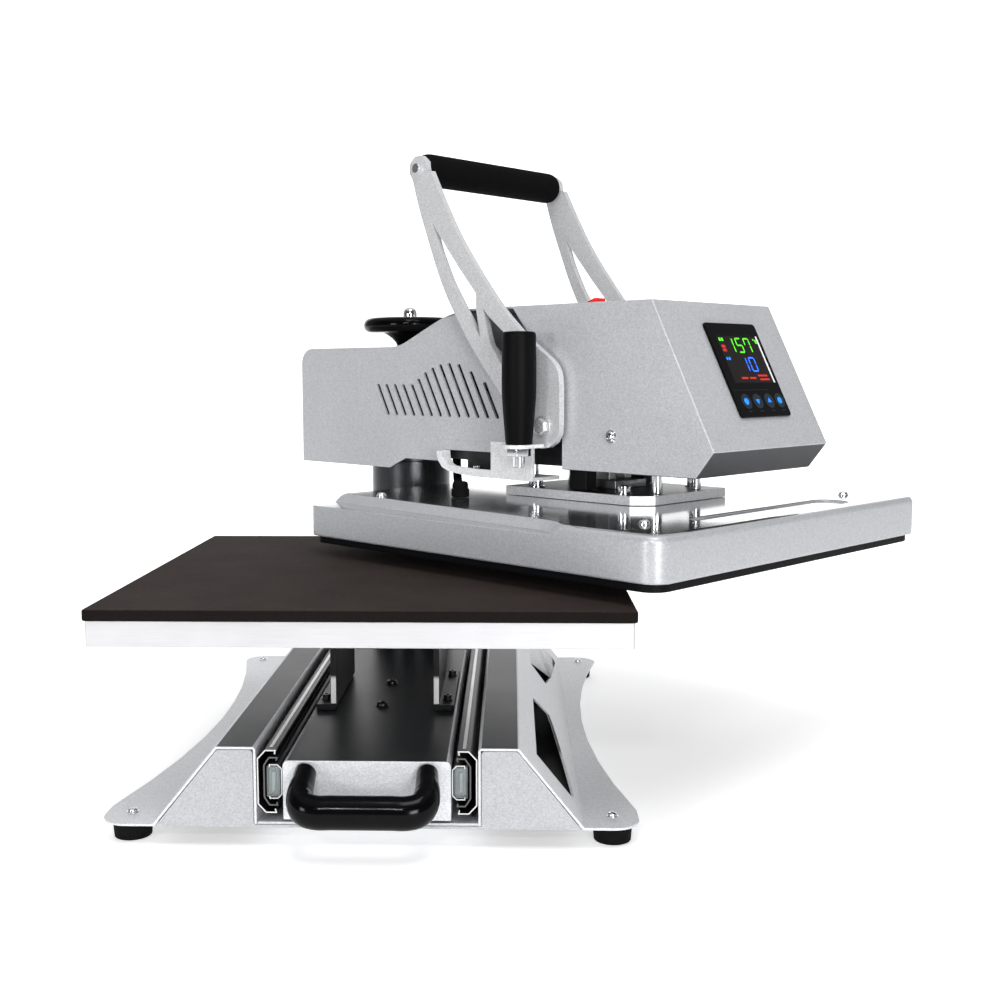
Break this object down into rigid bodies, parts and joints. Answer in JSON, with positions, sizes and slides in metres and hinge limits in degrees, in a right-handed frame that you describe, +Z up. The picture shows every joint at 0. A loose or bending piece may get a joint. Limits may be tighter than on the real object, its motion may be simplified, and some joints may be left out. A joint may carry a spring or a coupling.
{
  "type": "swing-away heat press",
  "caption": "Bench heat press with a swinging heated head, over-centre lever, pressure handwheel, sloping digital controller and a draw-out lower platen on telescopic slides.",
  "frame": {"origin": "centre of the top face of the pad on the lower platen, drawer pushed in", "axes": "+Z up, operator at -Y, +X to the operator's right"},
  "size_m": [0.6654, 0.5828, 0.5456],
  "materials": {
    "silver_paint": "fine metallic silver powder coat, satin",
    "dark_steel": "black-finished steel, semi-gloss",
    "steel": "machined steel",
    "chrome": "bright chrome plate",
    "aluminium": "brushed aluminium",
    "gloss_black": "gloss black plastic",
    "matte_black": "matt black plastic",
    "black_rubber": "matt black rubber",
    "foam": "matt closed-cell foam",
    "silicone": "dark brown sponge sheet",
    "clear_plastic": "clear moulded plastic",
    "red_plastic": "gloss red plastic",
    "screen": "dark polished window",
    "board": "fibre insulation board",
    "platen_coat": "dark non-stick coat, matt"
  },
  "bodies": {
    "base": {"side_frame_left": "silver_paint", "side_frame_right": "silver_paint", "base_floor": "silver_paint", "front_plate": "silver_paint", "rear_plate": "silver_paint", "foot_front_left": "black_rubber", "foot_front_right": "black_rubber", "foot_rear_left": "black_rubber", "foot_rear_right": "black_rubber", "slide_outer_left": "dark_steel", "slide_outer_right": "dark_steel", "swing_post": "silver_paint", "thrust_washer": "steel"},
    "slide_middles": {"slide_middle_left": "dark_steel", "slide_middle_right": "dark_steel"},
    "drawer": {"slide_inner_left": "dark_steel", "slide_inner_right": "dark_steel", "slide_buffer_left": "clear_plastic", "slide_buffer_right": "clear_plastic", "drawer_carriage": "silver_paint", "drawer_handle": "gloss_black", "platen_bracket_left": "steel", "platen_bracket_right": "steel", "lower_platen": "aluminium", "silicone_pad": "silicone"},
    "arm": {"arm_frame": "dark_steel", "rear_housing": "silver_paint", "control_box": "silver_paint", "controller": "gloss_black", "display_screen": "screen", "switch_housing": "matte_black", "power_inlet": "matte_black", "swing_bracket": "silver_paint", "swing_grip": "gloss_black", "grip_stud": "chrome"},
    "rocker": {"power_rocker": "red_plastic"},
    "wheel": {"handwheel": "gloss_black", "acorn_nut": "chrome", "pressure_screw": "steel"},
    "travelling_nut": {"pressure_nut": "steel"},
    "lever": {"lever_plate_left": "silver_paint", "lever_plate_right": "silver_paint", "pivot_bolt_left": "chrome", "pivot_bolt_right": "chrome", "lever_shaft": "steel", "grip_rod": "chrome", "lever_grip": "foam"},
    "toggle": {"toggle_link": "steel"},
    "head": {"head_clevis": "steel", "mounting_plate": "steel", "guide_bar_left": "matte_black", "guide_bar_right": "matte_black", "guide_post_front_left": "chrome", "guide_post_front_right": "chrome", "guide_post_rear_left": "chrome", "guide_post_rear_right": "chrome", "upper_cover": "silver_paint", "insulation_board": "board", "heating_platen": "platen_coat", "heater_cable": "black_rubber"}
  },
  "joints": [
    {"name": "drawer_slide", "type": "slide", "parent": "base", "child": "drawer", "axis": [0, -1, 0], "range_m": [0, 0.3]},
    {"name": "middle_slide", "type": "slide", "parent": "base", "child": "slide_middles", "axis": [0, -1, 0], "range_m": [0, 0.15]},
    {"name": "arm_swing", "type": "hinge", "parent": "base", "child": "arm", "pos_m": [0, 0.2687, 0.1165], "axis": [0, 0, 1], "range_deg": [-46.8, 43.2]},
    {"name": "lever_press", "type": "hinge", "parent": "arm", "child": "lever", "pos_m": [0.19587, 0.08476, 0.1165], "axis": [0.6845, 0.729, 0], "range_deg": [0, 80]},
    {"name": "head_press", "type": "slide", "parent": "arm", "child": "head", "axis": [0, 0, -1], "range_m": [0, 0.0102]},
    {"name": "toggle_swing", "type": "hinge", "parent": "head", "child": "toggle", "pos_m": [0.19587, 0.08476, 0.08019], "axis": [0.6845, 0.729, 0], "range_deg": [-16.7, 0]},
    {"name": "handwheel_turn", "type": "hinge", "parent": "arm", "child": "wheel", "pos_m": [0, 0.2687, 0.1165], "axis": [0, 0, 1], "range_deg": [-1440, 1440]},
    {"name": "nut_travel", "type": "slide", "parent": "arm", "child": "travelling_nut", "axis": [0, 0, 1], "range_m": [-0.008, 0.008]},
    {"name": "power_switch", "type": "hinge", "parent": "arm", "child": "rocker", "pos_m": [0.17714, 0.10236, 0.217], "axis": [0.6845, 0.729, 0], "range_deg": [0, 24]}
  ],
  "couplings": [
    {"joint": "middle_slide", "follows": "drawer_slide", "ratio": 0.5},
    {"joint": "head_press", "follows": "lever_press", "m_per_rad": 0.0073007},
    {"joint": "toggle_swing", "follows": "lever_press", "ratio": -0.20866},
    {"joint": "nut_travel", "follows": "handwheel_turn", "m_per_rad": 0.000318}
  ]
}
